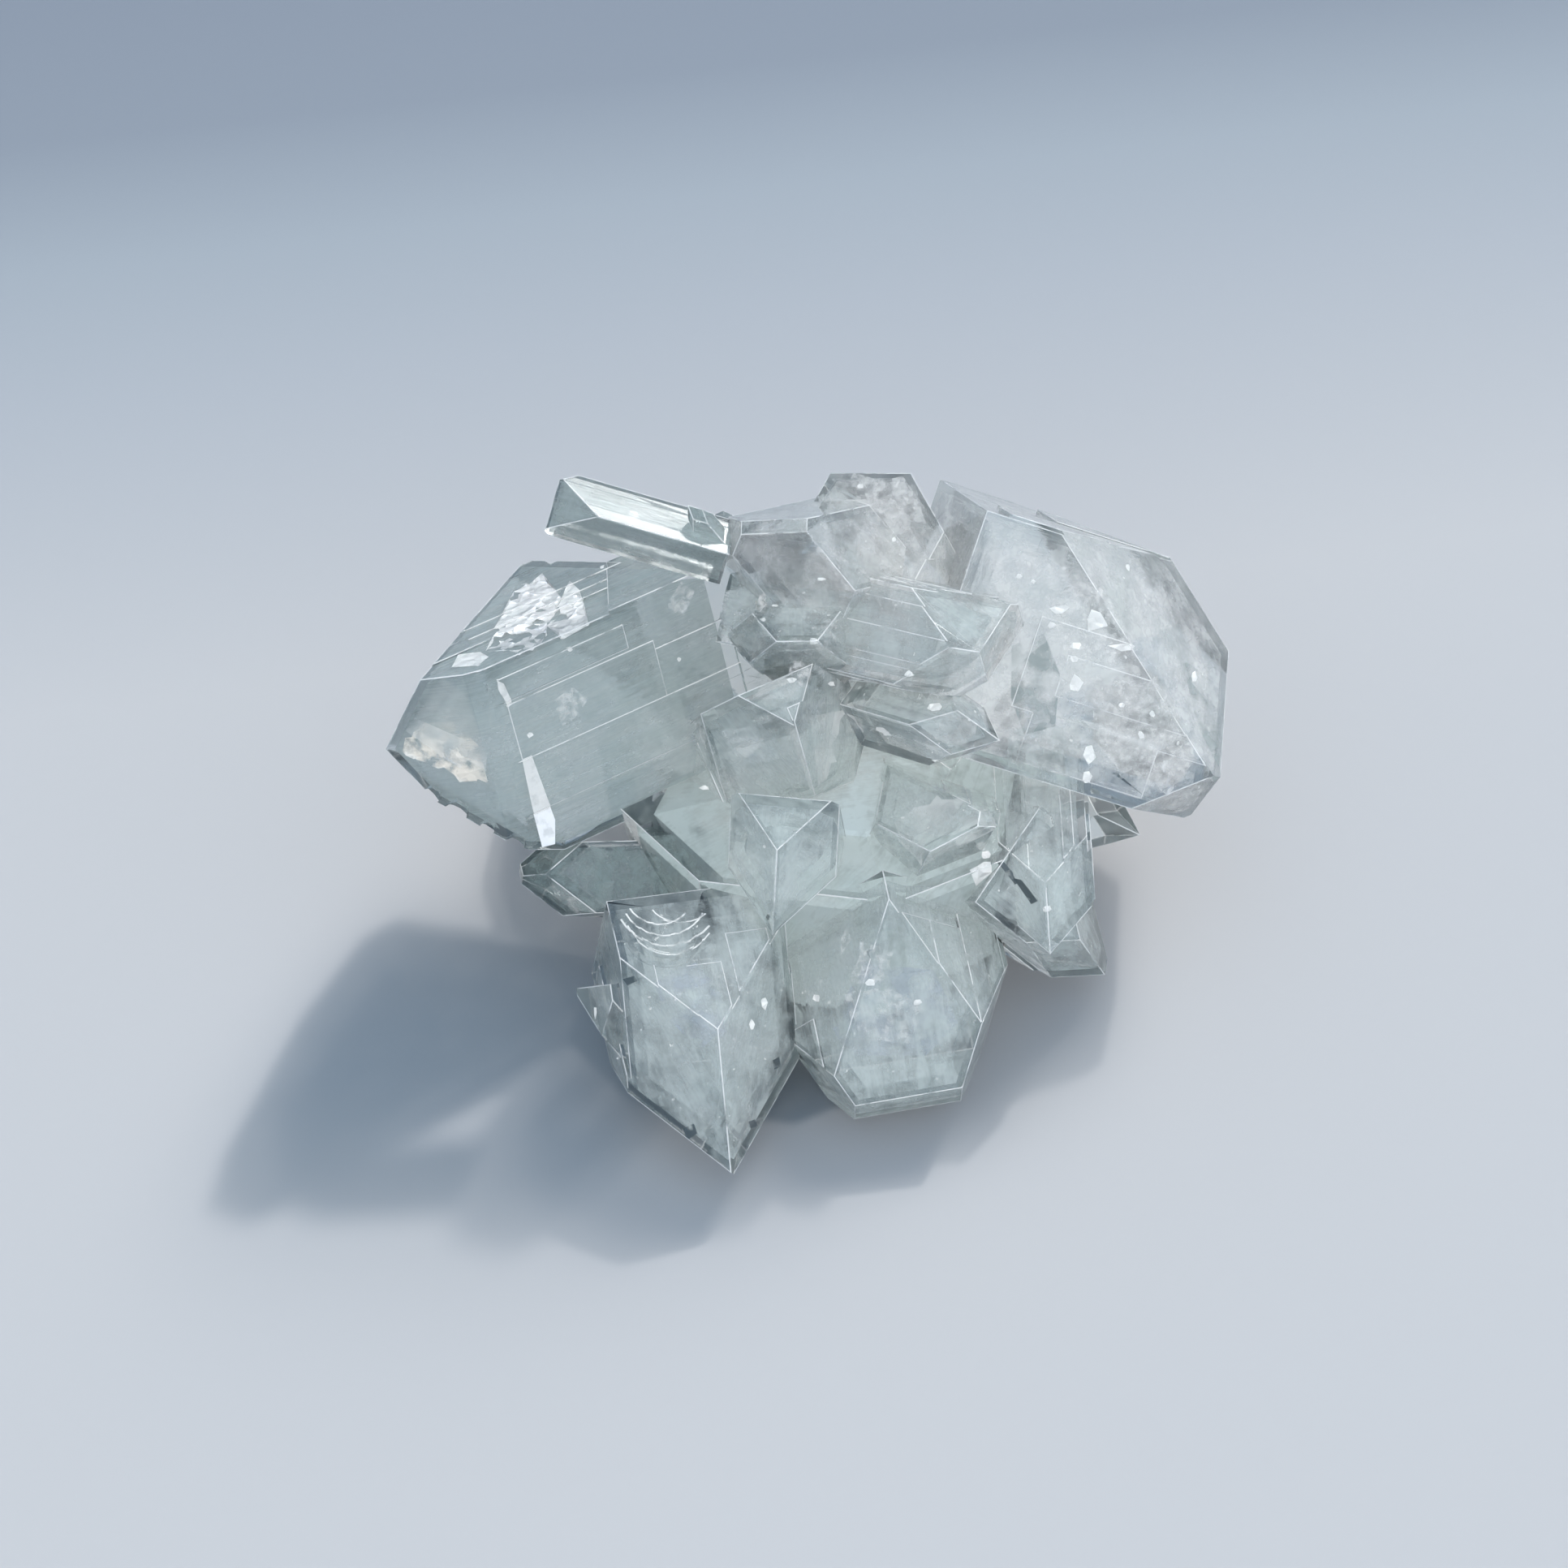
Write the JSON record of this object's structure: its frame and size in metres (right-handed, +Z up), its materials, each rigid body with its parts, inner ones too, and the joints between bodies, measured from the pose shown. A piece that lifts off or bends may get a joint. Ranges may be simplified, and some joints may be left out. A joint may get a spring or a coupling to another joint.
{
  "type": "apophyllite specimen",
  "caption": "Cluster of clear, pale green-grey apophyllite crystals grown together, lying on its flat broken foot, to rest on a shelf or table as a display specimen.",
  "frame": {"origin": "middle of the cluster's outline seen from above, on the surface that it rests on", "axes": "+X along the cluster's long way, from the big striated crystal to the big pale one; +Z up, away from the flat broken foot; -Y is the front, where two blunt crystals point down and out"},
  "size_m": [0.0614, 0.051, 0.0343],
  "materials": {
    "apophyllite": "clear, faintly milky crystal with glassy faces, fine growth lines and inner veils"
  },
  "bodies": {
    "root": {"apophyllite_cluster": "apophyllite"}
  },
  "joints": []
}
